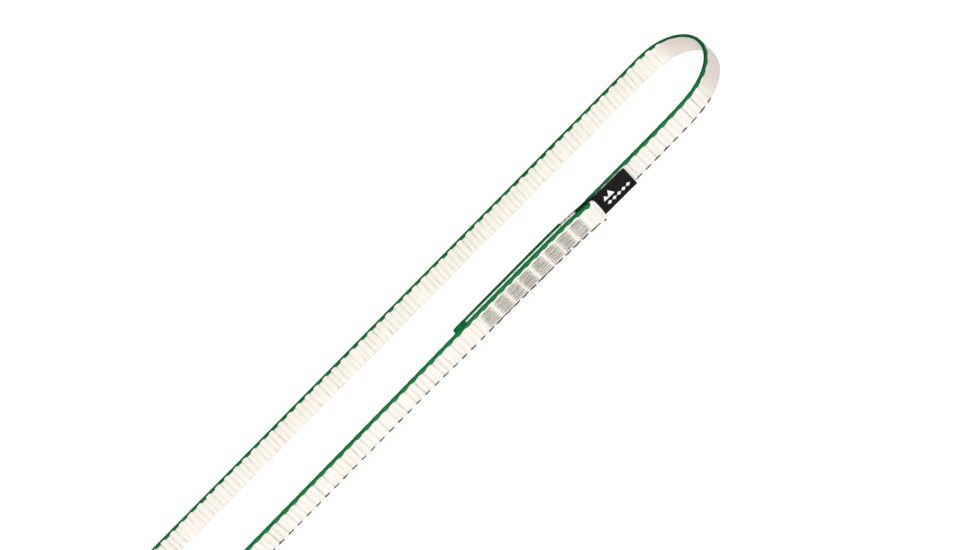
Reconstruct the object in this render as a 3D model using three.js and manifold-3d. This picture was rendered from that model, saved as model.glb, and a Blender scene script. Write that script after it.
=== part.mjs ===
// Sewn climbing runner (sling): one length of narrow polyethylene webbing bent into a long
// closed loop that stands on its lower edge. Its two ends are laid over each other and joined
// by a row of bartacks, and a folded brand label is caught under the last bartack.
//
// Frame: +X along the loop towards the bend nearest the sewn joint, +Y towards the plain
// strand, +Z up across the webbing's width. Z = 0 is the lower edge. Millimetres.

import * as THREE from 'three';
import { mergeVertices } from 'three/addons/utils/BufferGeometryUtils.js';
import Module from 'manifold-3d';

const wasm = await Module();
wasm.setup();

// ---- driving dimensions ------------------------------------------------------------------
const TAPE_WIDTH = 11.0;          // webbing width, selvedge to selvedge
const TAPE_THICKNESS = 1.6;
const EDGE_YARN_HEIGHT = 0.8;     // coloured selvedge, each edge
const PIECE_GAP = 0.3;            // clearance between pieces that touch in the real object

const BACK_Y = 20.862;            // centreline of the plain strand

const STITCH_LENGTH = 5.6;        // bartack, along the webbing
const STITCH_ROWS = 8;            // zigzag passes in one bartack
const STITCH_LOW = 2.05;          // first and last pass, height above the lower edge
const STITCH_HIGH = 8.95;
const STITCH_WIDTH = 0.55;        // one pass of thread
const STITCH_THICKNESS = 0.45;
const STITCH_LEG = 0.5;           // thread passing through the webbing, square
const LEG_HOLE = 1.1;             // hole it passes through, square
const BARTACK_X = [146.0, 153.9, 161.2, 168.3, 176.0, 183.5, 190.7, 198.4];

const LABEL_LOW = 0.15;
const LABEL_HIGH = 11.7;
const LABEL_TAIL_THICKNESS = 0.25;
const LABEL_FLAP_THICKNESS = 0.3;
const LABEL_START_X = 194.0;      // end caught in the joint
const LABEL_ROOT_X = 211.0;       // where it comes out past the outer layer's cut end

// ---- webbing centreline ------------------------------------------------------------------
// Each point is [X, D]; D is the distance from the plain strand's centreline, towards -Y.
// It starts at the inner layer's cut end and winds round the loop to the outer layer's.
const CENTRELINE = [
  [131.2, 37.1], [138, 37.0], [146, 36.95], [160, 36.95], [176, 36.95], [186, 37.0],
  [194, 37.2], [198.4, 37.45], [202, 37.8], [206, 38.25], [212, 38.6], [220, 38.68],
  [232, 38.72], [245, 38.72], [254, 38.62], [261, 38.45], [267.5, 38.0], [272.0, 37.2],
  [276.4, 35.75], [280.4, 33.65], [283.9, 30.8], [286.6, 27.3], [288.35, 23.2],
  [288.95, 18.75], [288.35, 14.3], [286.55, 10.15], [283.75, 6.55], [280.2, 3.7],
  [276.2, 1.6], [271.9, 0.42], [267.4, 0.02], [262, 0], [254, 0], [240, 0], [200, 0],
  [150, 0], [100, 0], [50, 0], [0, 0], [-50, 0], [-100, 0], [-150, 0], [-200, 0], [-240, 0],
  [-256, 0], [-263, 0.02], [-268.4, 0.25], [-273.4, 1.0], [-278.2, 2.75], [-282.4, 5.6],
  [-285.8, 9.4], [-288.1, 14.1], [-288.95, 19.6], [-288.3, 25.2], [-286.1, 30.2],
  [-282.6, 34.4], [-278.2, 37.5], [-273.2, 39.3], [-268.2, 40.1], [-262, 40.4],
  [-254, 40.55], [-240, 40.7], [-200, 40.85], [-150, 40.9], [-100, 40.9], [-50, 40.8],
  [0, 40.65], [50, 40.3], [90, 40.0], [110, 39.82], [124, 39.68], [134, 39.6],
  [146, 39.55], [160, 39.5], [176, 39.5], [186, 39.53], [194, 39.67], [198.4, 39.85],
  [202, 40.28], [206, 41.0], [210.8, 41.75],
];

const LABEL_LINE = [
  [194.0, 38.42], [198.4, 38.65], [202, 39.05], [206, 39.65], [210.8, 40.5], [216, 41.1],
  [222, 41.3], [229.1, 41.35],
];

const toRow = ([x, d]) => new THREE.Vector3(x, BACK_Y - d, 0);

function denseCurve(points) {
  const curve = new THREE.CatmullRomCurve3(points.map(toRow), false, 'centripetal');
  curve.arcLengthDivisions = 4000;
  return curve;
}

// Sample a curve at steps that follow what the stretch needs: long on the straight strands,
// short on the bends and in the joint.
function sample(curve, stepAt) {
  const total = curve.getLength();
  const out = [];
  let s = 0;
  while (s < total - 0.4) {
    const u = s / total;
    const p = curve.getPointAt(u);
    const t = curve.getTangentAt(u).setZ(0).normalize();
    out.push({ p, t, s });
    s += stepAt(p.x, p.y);
  }
  out.push({ p: curve.getPointAt(1), t: curve.getTangentAt(1).setZ(0).normalize(), s: total });
  return out;
}

const tapeCurve = denseCurve(CENTRELINE);
const labelCurve = denseCurve(LABEL_LINE);

function tapeStep(x, y) {
  if (Math.abs(x) > 262) return 3.9;
  if (x > 126 && x < 240 && y < 0) return 4.0;
  return 18.0;
}

const tapeSamples = sample(tapeCurve, tapeStep);

// Plan outline of a strip of even thickness about a sampled centreline.
function stripShape(samples, thickness) {
  const left = [];
  const right = [];
  for (const { p, t } of samples) {
    const nx = -t.y;
    const ny = t.x;
    left.push(new THREE.Vector2(p.x + nx * thickness / 2, p.y + ny * thickness / 2));
    right.push(new THREE.Vector2(p.x - nx * thickness / 2, p.y - ny * thickness / 2));
  }
  return new THREE.Shape([...left, ...right.reverse()]);
}

function strip(samples, thickness, zLow, zHigh) {
  const geometry = new THREE.ExtrudeGeometry(stripShape(samples, thickness), {
    depth: zHigh - zLow, bevelEnabled: false, curveSegments: 1,
  });
  geometry.translate(0, 0, zLow);
  return geometry;
}

// ---- booleans ----------------------------------------------------------------------------
function toManifold(geometry) {
  const g = geometry.clone();
  g.deleteAttribute('normal');
  g.deleteAttribute('uv');
  const merged = mergeVertices(g, 1e-5);
  const mesh = new wasm.Mesh({
    numProp: 3,
    vertProperties: new Float32Array(merged.attributes.position.array),
    triVerts: new Uint32Array(merged.index.array),
  });
  mesh.merge();
  return new wasm.Manifold(mesh);
}

function toGeometry(manifold) {
  const mesh = manifold.getMesh();
  const geometry = new THREE.BufferGeometry();
  geometry.setAttribute('position', new THREE.BufferAttribute(new Float32Array(mesh.vertProperties), 3));
  geometry.setIndex(new THREE.BufferAttribute(new Uint32Array(mesh.triVerts), 1));
  geometry.computeVertexNormals();
  return geometry;
}

// ---- bartack frames ----------------------------------------------------------------------
// Where a curve passes X on the joint side of the loop, and which way it runs there.
function frameAtX(curve, x, uFrom, uTo) {
  let lo = uFrom;
  let hi = uTo;
  const rising = curve.getPointAt(hi).x > curve.getPointAt(lo).x;
  for (let i = 0; i < 60; i += 1) {
    const mid = (lo + hi) / 2;
    if ((curve.getPointAt(mid).x < x) === rising) lo = mid; else hi = mid;
  }
  const p = curve.getPointAt((lo + hi) / 2);
  const t = curve.getTangentAt((lo + hi) / 2).setZ(0).normalize();
  return { p, t };
}

const innerFrame = (x) => frameAtX(tapeCurve, x, 0, 100 / tapeCurve.getLength());
const outerFrame = (x) => frameAtX(tapeCurve, x, 1 - 100 / tapeCurve.getLength(), 1);

// ---- bartack thread ----------------------------------------------------------------------
const PASS_PITCH = (STITCH_HIGH - STITCH_LOW) / STITCH_ROWS;
const LEG_ROWS = [1, 2, 6, 7];

// Zigzag of one unbroken thread, drawn in the plane of the webbing's face (x along, y up).
function zigzagShape() {
  const xl = -STITCH_LENGTH / 2;
  const xr = STITCH_LENGTH / 2;
  const w = STITCH_WIDTH / 2;
  const notch = STITCH_WIDTH * STITCH_LENGTH / (2 * PASS_PITCH);
  const z = (i) => STITCH_LOW + i * PASS_PITCH;
  const right = [new THREE.Vector2(xl, z(0) - w)];
  const left = [new THREE.Vector2(xl, z(0) + w)];
  for (let i = 1; i < STITCH_ROWS; i += 1) {
    if (i % 2 === 1) {
      right.push(new THREE.Vector2(xr, z(i) - w), new THREE.Vector2(xr, z(i) + w));
      left.push(new THREE.Vector2(xr - notch, z(i)));
    } else {
      left.push(new THREE.Vector2(xl, z(i) - w), new THREE.Vector2(xl, z(i) + w));
      right.push(new THREE.Vector2(xl + notch, z(i)));
    }
  }
  const atRight = STITCH_ROWS % 2 === 1;
  const end = atRight ? xr : xl;
  right.push(new THREE.Vector2(end, z(STITCH_ROWS) + (atRight ? -w : w)));
  left.push(new THREE.Vector2(end, z(STITCH_ROWS) + (atRight ? w : -w)));
  return new THREE.Shape([...right, ...left.reverse()]);
}

const legX = (row) => (row % 2 === 1 ? 1 : -1) * (STITCH_LENGTH / 2 - STITCH_LEG / 2);
const legZ = (row) => STITCH_LOW + row * PASS_PITCH;

// Patch that lies PIECE_GAP off the face at y = 0, with legs that run back along -y.
function bartackGeometry(legDepth) {
  const patch = new THREE.ExtrudeGeometry(zigzagShape(), {
    depth: STITCH_THICKNESS, bevelEnabled: false, curveSegments: 1,
  });
  patch.rotateX(Math.PI / 2);
  patch.translate(0, PIECE_GAP + STITCH_THICKNESS, 0);
  let solid = toManifold(patch);
  for (const row of LEG_ROWS) {
    const long = PIECE_GAP + STITCH_THICKNESS / 2 + legDepth;
    const leg = new THREE.BoxGeometry(STITCH_LEG, long, STITCH_LEG);
    leg.translate(legX(row), PIECE_GAP + STITCH_THICKNESS / 2 - long / 2, legZ(row));
    solid = solid.add(toManifold(leg));
  }
  return toGeometry(solid);
}

function legHoleGeometry(row, yLow, yHigh) {
  const box = new THREE.BoxGeometry(LEG_HOLE, yHigh - yLow, LEG_HOLE);
  box.translate(legX(row), (yLow + yHigh) / 2, legZ(row));
  return box;
}

// ---- materials ---------------------------------------------------------------------------
const finish = (hex, roughness) => new THREE.MeshStandardMaterial({ color: hex, roughness, metalness: 0 });
const WHITE = () => finish(0xf4efe5, 0.75);
const GREEN = () => finish(0x14713c, 0.8);
const BLACK = () => finish(0x141414, 0.7);
const GREY = () => finish(0xbdb8ac, 0.65);

// ---- assembly ----------------------------------------------------------------------------
const runner = new THREE.Group();
runner.name = 'sewn_runner';

function addNode(name, geometry, material) {
  const mesh = new THREE.Mesh(geometry, material);
  mesh.name = name;
  runner.add(mesh);
  return mesh;
}

const bodyLow = EDGE_YARN_HEIGHT + PIECE_GAP;
const bodyHigh = TAPE_WIDTH - EDGE_YARN_HEIGHT - PIECE_GAP;
let tape = toManifold(strip(tapeSamples, TAPE_THICKNESS, bodyLow, bodyHigh));

const labelSamples = sample(labelCurve, () => 2.2);
const labelSampleAt = (x) => frameAtX(labelCurve, x, 0, 1);
const tailSamples = [
  ...labelSamples.filter(({ p }) => p.x < LABEL_ROOT_X - 0.4), labelSampleAt(LABEL_ROOT_X)];
const flapSamples = [
  labelSampleAt(LABEL_ROOT_X + PIECE_GAP),
  ...labelSamples.filter(({ p }) => p.x > LABEL_ROOT_X + PIECE_GAP + 0.4)];
let labelTail = toManifold(strip(tailSamples, LABEL_TAIL_THICKNESS, LABEL_LOW, LABEL_HIGH));

BARTACK_X.forEach((x, index) => {
  const inner = innerFrame(x);
  const outer = outerFrame(x);
  const half = TAPE_THICKNESS / 2;
  // gap between the two layers here, measured square to them
  const between = Math.abs(outer.p.y - inner.p.y) * Math.abs(outer.t.x) - TAPE_THICKNESS;
  const legDepth = TAPE_THICKNESS + between / 2 - PIECE_GAP / 2;

  // outer face looks towards -Y, inner face towards +Y
  const outTangent = outer.t.clone().multiplyScalar(outer.t.x > 0 ? -1 : 1);
  const inTangent = inner.t.clone().multiplyScalar(inner.t.x > 0 ? 1 : -1);
  const outNormal = new THREE.Vector3(-outTangent.y, outTangent.x, 0);
  const inNormal = new THREE.Vector3(-inTangent.y, inTangent.x, 0);
  const outOrigin = outer.p.clone().addScaledVector(outNormal, half);
  const inOrigin = inner.p.clone().addScaledVector(inNormal, half);

  const basis = (tangent, normal, origin) => new THREE.Matrix4()
    .makeBasis(tangent, normal, new THREE.Vector3(0, 0, 1)).setPosition(origin);
  const outMatrix = basis(outTangent, outNormal, outOrigin);
  const inMatrix = basis(inTangent, inNormal, inOrigin);

  addNode(`bartack_${index + 1}_needle_thread`, bartackGeometry(legDepth).applyMatrix4(outMatrix), GREY());
  addNode(`bartack_${index + 1}_bobbin_thread`, bartackGeometry(legDepth).applyMatrix4(inMatrix), GREY());

  for (const row of LEG_ROWS) {
    const through = (matrix) => toManifold(
      legHoleGeometry(row, -TAPE_THICKNESS - between / 2, 0.4).applyMatrix4(matrix));
    const outHole = through(outMatrix);
    const inHole = through(inMatrix);
    tape = tape.subtract(outHole).subtract(inHole);
    if (x > LABEL_START_X) {
      const deep = (matrix) => toManifold(
        legHoleGeometry(row, -TAPE_THICKNESS - between - 0.2, 0).applyMatrix4(matrix));
      labelTail = labelTail.subtract(deep(outMatrix)).subtract(deep(inMatrix));
    }
  }
});

addNode('webbing_tape', toGeometry(tape), WHITE());
addNode('lower_edge_yarn', strip(tapeSamples, TAPE_THICKNESS, 0, EDGE_YARN_HEIGHT), GREEN());
addNode('upper_edge_yarn',
  strip(tapeSamples, TAPE_THICKNESS, TAPE_WIDTH - EDGE_YARN_HEIGHT, TAPE_WIDTH), GREEN());
addNode('label_tail', toGeometry(labelTail), BLACK());
addNode('label_flap', strip(flapSamples, LABEL_FLAP_THICKNESS, LABEL_LOW, LABEL_HIGH), BLACK());

export default runner;
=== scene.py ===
"""Sewn climbing sling: the looks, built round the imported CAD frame. Metres in Blender; the
route and section below are written in millimetres and scaled once."""

import math

import bpy
import numpy as np
from mathutils import Matrix, Vector


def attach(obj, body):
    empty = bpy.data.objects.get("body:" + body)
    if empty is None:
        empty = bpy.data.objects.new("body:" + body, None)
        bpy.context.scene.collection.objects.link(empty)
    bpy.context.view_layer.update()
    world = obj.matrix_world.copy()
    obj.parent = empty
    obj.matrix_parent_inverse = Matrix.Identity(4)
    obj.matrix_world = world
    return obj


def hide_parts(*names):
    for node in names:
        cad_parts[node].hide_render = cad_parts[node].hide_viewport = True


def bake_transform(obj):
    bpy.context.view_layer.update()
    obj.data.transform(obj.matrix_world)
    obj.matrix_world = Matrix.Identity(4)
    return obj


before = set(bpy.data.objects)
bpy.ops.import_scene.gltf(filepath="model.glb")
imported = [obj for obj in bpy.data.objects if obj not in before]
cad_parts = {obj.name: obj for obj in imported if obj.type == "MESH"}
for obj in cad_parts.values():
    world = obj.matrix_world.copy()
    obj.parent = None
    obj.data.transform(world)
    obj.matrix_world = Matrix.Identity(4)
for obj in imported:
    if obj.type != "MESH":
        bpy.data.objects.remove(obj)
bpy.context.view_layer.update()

MM = 0.001
scene = bpy.context.scene
scene.view_settings.view_transform = "Standard"
scene.view_settings.look = "None"
scene.view_settings.exposure = 0.0
scene.view_settings.gamma = 1.0
scene.render.film_transparent = False

# ---------------------------------------------------------------------------------------
# camera
# ---------------------------------------------------------------------------------------
ELEVATION = math.radians(43.0)
ROLL = math.radians(45.355)
DISTANCE = 2.5
LOOK_AT = Vector((0.15804, -0.00770, 0.011))

back = Vector((0, -math.cos(ELEVATION), math.sin(ELEVATION)))
flat_right = Vector((1, 0, 0))
flat_up = back.cross(flat_right)
right = math.cos(ROLL) * flat_right - math.sin(ROLL) * flat_up
up = math.sin(ROLL) * flat_right + math.cos(ROLL) * flat_up
camera = bpy.data.objects.new("camera", bpy.data.cameras.new("camera"))
scene.collection.objects.link(camera)
camera.data.lens = 220.86
camera.data.sensor_width = 36.0
camera.data.sensor_fit = "HORIZONTAL"
camera.data.clip_start, camera.data.clip_end = 0.05, 100.0
basis = Matrix((right, up, back)).transposed().to_4x4()
basis.translation = LOOK_AT + back * DISTANCE
camera.matrix_world = basis
scene.camera = camera

# ---------------------------------------------------------------------------------------
# route of the webbing (mm): [X, D], D from the plain strand's centreline towards -Y
# ---------------------------------------------------------------------------------------
BACK_Y = 20.862
T = 1.6            # thickness
W = 11.0           # width
PERIOD = 5.42      # one repeat of the weave along the webbing
SKEW = 0.026       # cross ribs lean this much along the webbing per mm of height

ROUTE = [
    (130.8, 37.1), (134.5, 37.05), (138, 37.0), (142, 36.95), (146, 36.95), (160, 36.95),
    (176, 36.95), (186, 37.05), (194, 37.25), (198.4, 37.5), (202, 37.85), (206, 38.3),
    (212, 38.62), (220, 38.68), (232, 38.72), (245, 38.72), (254, 38.62), (261, 38.45),
    (267.5, 38.0), (272.0, 37.2), (276.5, 35.75), (280.6, 33.65), (284.15, 30.8),
    (286.9, 27.3), (288.7, 23.2), (289.3, 18.75), (288.7, 14.3), (286.85, 10.15),
    (284.0, 6.55), (280.4, 3.7), (276.3, 1.6), (271.9, 0.42), (267.4, 0.02), (262, 0),
    (254, 0), (240, 0), (200, 0), (150, 0), (100, 0), (50, 0), (0, 0), (-50, 0),
    (-100, 0), (-150, 0), (-200, 0), (-240, 0), (-256, 0), (-263, 0.02), (-268.4, 0.25),
    (-273.4, 1.0), (-278.2, 2.75), (-282.4, 5.6), (-285.8, 9.4), (-288.1, 14.1),
    (-288.95, 19.6), (-288.3, 25.2), (-286.1, 30.2), (-282.6, 34.4), (-278.2, 37.5),
    (-273.2, 39.3), (-268.2, 40.1), (-262, 40.4), (-254, 40.55), (-240, 40.7),
    (-200, 40.85), (-150, 40.9), (-100, 40.9), (-50, 40.8), (0, 40.65), (50, 40.3),
    (90, 40.0), (110, 39.82), (124, 39.68), (134, 39.6), (146, 39.55), (160, 39.5),
    (176, 39.5), (186, 39.53), (194, 39.67), (198.4, 39.85), (202, 40.25), (206, 40.85),
    (210.8, 41.45),
]
LABEL_ROUTE = [
    (194.0, 38.42), (198.4, 38.66), (202, 39.05), (206, 39.6), (210.8, 40.45),
    (213.5, 40.92), (216.5, 41.18), (221, 41.32), (225, 41.38), (228.75, 41.4),
]
BARTACK_X = [146.0, 153.9, 161.2, 168.3, 176.0, 183.5, 190.7, 198.4]


class Line:
    """A smooth curve through points, read by distance along it."""

    def __init__(self, points, smooth=1.2):
        p = np.array([(x, BACK_Y - d) for x, d in points], float)
        p = np.vstack([2 * p[0] - p[1], p, 2 * p[-1] - p[-2]])
        out = []
        for i in range(1, len(p) - 2):
            a, b, c, d = p[i - 1], p[i], p[i + 1], p[i + 2]
            t0 = 0.0
            t1 = t0 + np.linalg.norm(b - a) ** 0.5
            t2 = t1 + np.linalg.norm(c - b) ** 0.5
            t3 = t2 + np.linalg.norm(d - c) ** 0.5
            n = max(8, int(np.linalg.norm(c - b) / 0.1))
            t = np.linspace(t1, t2, n, endpoint=False)[:, None]
            a1 = (t1 - t) / (t1 - t0) * a + (t - t0) / (t1 - t0) * b
            a2 = (t2 - t) / (t2 - t1) * b + (t - t1) / (t2 - t1) * c
            a3 = (t3 - t) / (t3 - t2) * c + (t - t2) / (t3 - t2) * d
            b1 = (t2 - t) / (t2 - t0) * a1 + (t - t0) / (t2 - t0) * a2
            b2 = (t3 - t) / (t3 - t1) * a2 + (t - t1) / (t3 - t1) * a3
            out.append((t2 - t) / (t2 - t1) * b1 + (t - t1) / (t2 - t1) * b2)
        out.append(p[-2][None])
        q = np.vstack(out)
        s = np.r_[0, np.cumsum(np.linalg.norm(np.diff(q, axis=0), axis=1))]
        self.length = float(s[-1])
        self.step = 0.1
        n = int(round(self.length / self.step)) + 1
        self.s = np.linspace(0, self.length, n)
        q = np.stack([np.interp(self.s, s, q[:, i]) for i in range(2)], 1)
        k = int(smooth / self.step)
        if k > 0:
            w = np.exp(-0.5 * (np.arange(-3 * k, 3 * k + 1) / k) ** 2)
            w /= w.sum()
            pad = 3 * k
            head = 2 * q[0] - q[1:pad + 1][::-1]
            tail = 2 * q[-1] - q[-pad - 1:-1][::-1]
            e = np.vstack([head, q, tail])
            q = np.stack([np.convolve(e[:, i], w, "valid") for i in range(2)], 1)
        self.q = q
        t = np.gradient(q, axis=0)
        self.t = t / np.linalg.norm(t, axis=1)[:, None]

    def at(self, s):
        p = np.stack([np.interp(s, self.s, self.q[:, i]) for i in range(2)], -1)
        t = np.stack([np.interp(s, self.s, self.t[:, i]) for i in range(2)], -1)
        t /= np.linalg.norm(t, axis=-1, keepdims=True)
        over = np.minimum(s, 0) + np.maximum(s - self.length, 0)
        return p + t * over[..., None], t


tape = Line(ROUTE)
label_line = Line(LABEL_ROUTE, smooth=0.6)
L = tape.length


def s_at_x(line, x, lo, hi):
    """Distance along a line where it passes X, between two distances."""
    m = (line.s >= lo) & (line.s <= hi)
    ss, xx = line.s[m], line.q[m, 0]
    return float(np.interp(x, xx, ss))


S_IN = [s_at_x(tape, x, 0, 100) for x in BARTACK_X]
S_OUT = [s_at_x(tape, x, L - 100, L) for x in BARTACK_X]
S_IN_OVER = s_at_x(tape, 211.0, 0, 100)      # inner layer is backed by the outer one up to here
S_OUT_OVER = s_at_x(tape, 131.2, L - 100, L)  # outer layer is backed from here

# ---------------------------------------------------------------------------------------
# deterministic noise
# ---------------------------------------------------------------------------------------
rng = np.random.default_rng(7)
NOISE = rng.random((64, 4096)) * 2 - 1


def noise1(x, row):
    i = np.floor(x).astype(int)
    f = x - i
    f = f * f * (3 - 2 * f)
    n = NOISE[row]
    return n[i % 4096] * (1 - f) + n[(i + 1) % 4096] * f


def noise2(x, y, row):
    j = np.floor(y).astype(int)
    f = y - j
    f = f * f * (3 - 2 * f)
    a = noise1(x + 37.3 * j, row)
    b = noise1(x + 37.3 * (j + 1), row)
    return a * (1 - f) + b * f


def smooth01(x):
    x = np.clip(x, 0, 1)
    return x * x * (3 - 2 * x)


def bump(x, width):
    """A smooth bump of height 1 at 0, gone beyond width."""
    return smooth01(1 - np.abs(x) / width)


def wrap(p):
    return p - np.round(p)


# ---------------------------------------------------------------------------------------
# the weave: how far the surface stands off the even section, in mm
# ---------------------------------------------------------------------------------------
def weave_knots():
    """Distance and weave phase at the edge floats along the strands, from one cut end to the other."""
    knots = []

    def add(s, start):
        if not knots:
            first = start
        else:
            s0, p0 = knots[-1]
            first = round(p0 + (s[0] - s0) / PERIOD - start % 1) + start % 1
        for k, v in enumerate(s):
            knots.append((v, first + k))

    def strand(xs, lo, hi):
        m = (tape.s >= lo) & (tape.s <= hi)
        ss, xx = tape.s[m], tape.q[m, 0]
        order = np.argsort(xx)
        return np.interp(xs, xx[order], ss[order])

    bend = s_at_x(tape, 267.4, 60, 150)
    add(strand(231.8 + PERIOD * np.arange(7), 60, bend), 20.1)
    back_start = float(tape.s[np.argmax((tape.s > bend + 40) & (tape.q[:, 0] < 266))])
    add(strand(257.5 - 5.342 * np.arange(46), back_start, back_start + 262), 0.0)
    front = 12.75 + 5.425 * np.arange(22)
    joint = [132.0, 137.5, 142.2, 147.2, 152.5, 157.4, 162.3, 167.5, 172.7, 177.7, 182.8, 187.6, 192.4, 197.3,
             202.4, 207.6]
    add(strand(np.r_[front, joint], L - 205, L), 0.1)
    return np.array(knots)


KNOTS = weave_knots()


def phase_of(s):
    a, b = KNOTS[0], KNOTS[-1]
    p = np.interp(s, KNOTS[:, 0], KNOTS[:, 1])
    p = p + np.minimum(s - a[0], 0) / PERIOD + np.maximum(s - b[0], 0) / 5.0
    return p + 0.015 * noise1(s / 6.1, 2)


def in_joint(s, side):
    """1 where the face is sewn and is the side that shows (outer layer's outer face, inner layer's inner face)."""
    if side == "out":
        a, b = S_OUT[0] - 3.6, S_OUT[-1] + 3.4
    else:
        a, b = S_IN[0] - 3.6, S_IN[-1] + 3.4
    return smooth01((s - a) / 1.6 + 0.5) * smooth01((b - s) / 1.6 + 0.5)


def face_window(z):
    """Ribs fade out at the selvedges."""
    return smooth01((z - 0.35) / 0.9) * smooth01((W - 0.35 - z) / 0.9)


TACK_LOW, TACK_HIGH, TACK_HALF = 1.35, 8.9, 2.2


def comb(s, z, k, centre):
    """Rows of little ridges the stitches draw up beside a bartack: +1 on a ridge, -1 between."""
    left = np.sign(s - centre)
    wobble = 0.35 * noise1(z / 1.9 + 7.1 * k, 26) + left * 0.9 + 0.5 * k
    return np.cos(2 * math.pi * (z - TACK_LOW) / 1.18 + wobble)


def quiet(s):
    """The pull of the first bartack smooths the outer layer just before it."""
    return 1 - 0.7 * smooth01((s - (S_OUT[0] - 22)) / 7)


def broken(z, cell, row):
    """A groove between ribs shows in stretches rather than as one line, darkest at its lower end."""
    gap = 0.55 + 0.75 * noise1(z / 1.7 + cell * 5.3, row)
    low = 0.85 * bump(z - 1.3, 1.0) * (NOISE[row + 2][cell % 4096] > -0.2)
    return np.clip(gap, 0.12, 1.2) + low


def stitched(z, cell):
    """The outer face's grooves come and go where warp yarns cross them."""
    return np.clip(0.78 + 0.5 * noise1(z / 1.1 + cell * 7.7, 50), 0.25, 1.2)


def relief(s, z, side):
    p = phase_of(s)
    cell = np.floor(p).astype(int)
    vary = (1 + 0.25 * NOISE[5][cell % 4096]) * quiet(s)
    if side == "out":
        q = wrap(p)
        sharp = bump(q + 0.03 * noise1(z * 0.9 + cell * 3.1, 6), 0.085) * stitched(z, cell)
        soft = bump(wrap(p - 0.44), 0.2)
        crown = 0.085 * np.cos(4 * math.pi * (p - 0.22)) * (1 + 0.5 * NOISE[36][cell % 4096]) \
            + 0.03 * np.cos(2 * math.pi * (p - 0.5)) + 0.02
        h = crown - 0.30 * vary * sharp - 0.08 * soft * (1 + 0.7 * NOISE[8][cell % 4096])
    else:
        a = bump(wrap(p - 0.21) + 0.03 * noise1(z * 1.3 + cell * 2.7, 9), 0.085)
        b = bump(wrap(p - 0.79) + 0.03 * noise1(z * 1.3 + cell * 1.9, 10), 0.085)
        wide = bump(wrap(p - 0.5), 0.30)
        low = 0.75 + 0.4 * smooth01(1 - z / 5.0)
        h = 0.055 * wide * (1 + 0.9 * NOISE[18][cell % 4096]) + 0.05 * bump(wrap(p), 0.15) \
            - 0.22 * low * (a * (1 + 0.6 * NOISE[17][cell % 4096]) * broken(z, cell, 44)
                            + 0.85 * b * (1 + 0.6 * NOISE[19][cell % 4096]) * broken(z, cell, 45))
    # floats of single yarns: fine lengthwise unevenness
    h = h * (1 - 0.85 * in_bend(s))
    h = h + 0.022 * noise2(s / 1.1, z / 0.9, 12) + 0.03 * noise2(s / 3.7, z / 3.1, 14)
    joint = in_joint(s, side)
    marks = S_OUT if side == "out" else S_IN
    if np.any(joint > 0):
        pressed = np.zeros_like(s)
        ridge = np.zeros_like(s)
        for k, c in enumerate(marks):
            dx = np.abs(s - c)
            zz = smooth01((z - TACK_LOW + 0.5) / 0.9) * smooth01((TACK_HIGH + 0.5 - z) / 0.9)
            pressed = np.maximum(pressed, smooth01((TACK_HALF + 0.55 - dx) / 0.8) * zz)
            near = bump(dx - (TACK_HALF + 0.15), 1.25) * zz
            teeth = comb(s, z, k, c)
            ridge = ridge + near * teeth
        sewn = -0.34 * pressed + 0.42 * ridge + 0.12 * (1 - pressed) * face_window(z)
        h = h * (1 - 0.75 * joint) + sewn * joint
    return h * face_window(z)


S_GAP = s_at_x(tape, 205.0, 0, 160)
S_LABEL_A, S_LABEL_B = s_at_x(tape, 200.0, 0, 160), s_at_x(tape, 231.0, 0, 160)
S_FOLD_A, S_FOLD_B = s_at_x(tape, 193.9, 0, 160), s_at_x(tape, 201.9, 0, 160)
S_SHADE_B = s_at_x(tape, 213.5, 0, 160)
S_BEND_A, S_BEND_B = s_at_x(tape, 272.0, 0, 170), s_at_x(tape, 270.0, 0, 170) + 56


def in_overlap(s):
    """1 on the inner layer where the outer one lies against it."""
    return smooth01((S_GAP - s) / 6.0 + 0.5)


def under_fold(s):
    """1 where the label's tail is melted over the inner layer's edge."""
    return smooth01((s - S_FOLD_A) / 0.4 + 0.5) * smooth01((S_FOLD_B - s) / 0.4 + 0.5)


def pressed_down(s):
    """1 where the inner layer's top edge sits low: under the fold, rising again past it."""
    return np.maximum(under_fold(s), smooth01((s - S_FOLD_A) / 0.4 + 0.5) * (1 - smooth01((s - S_FOLD_B - 2) / 9.0)))


def float_in(s):
    """1 where the upper edge yarn floats down the inner face."""
    p = phase_of(s)
    cell = np.floor(p + 0.5).astype(int)
    half = 0.285 + 0.03 * NOISE[34][cell % 4096]
    return smooth01((half - np.abs(wrap(p))) / 0.13 + 0.5) * (1 - 0.75 * in_bend(s))


def dash_out(s):
    """1 where the lower edge yarn shows on the outer face."""
    p = phase_of(s)
    cell = np.floor(p + np.where(s < L / 2, 0.54, 0.36)).astype(int)
    sewn = in_joint(s, "out")
    near = s < L / 2
    centre = 0.14 - 0.18 * near + 0.03 * NOISE[30][cell % 4096] + sewn * 0.12 * NOISE[31][cell % 4096]
    half = 0.275 + 0.05 * near + 0.03 * NOISE[32][cell % 4096] + sewn * (0.165 + 0.06 * NOISE[33][cell % 4096])
    d = smooth01((half - np.abs(wrap(p - centre))) / 0.05 + 0.5)
    last = smooth01((s - (L - 10.2)) / 0.5 + 0.5)
    d = np.maximum(d, 0.9 * last)
    ends = smooth01((L - 4.3 - s) / 0.5 + 0.5)
    tip = smooth01((s - (L - 2.3)) / 0.4)
    return np.maximum(d * ends * (1 - smooth01((in_bend(s) - 0.15) / 0.35)), tip)


def in_bend(s):
    """1 in the two bends, where the webbing is drawn smooth."""
    a = smooth01((s - S_BEND_A) / 9) * smooth01((S_BEND_B - s) / 9)
    b = smooth01((s - FAR_A) / 9) * smooth01((FAR_B - s) / 9)
    return np.maximum(a, b)


far = tape.s[tape.q[:, 0] < -270]
FAR_A, FAR_B = float(far[0]), float(far[-1])


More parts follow.
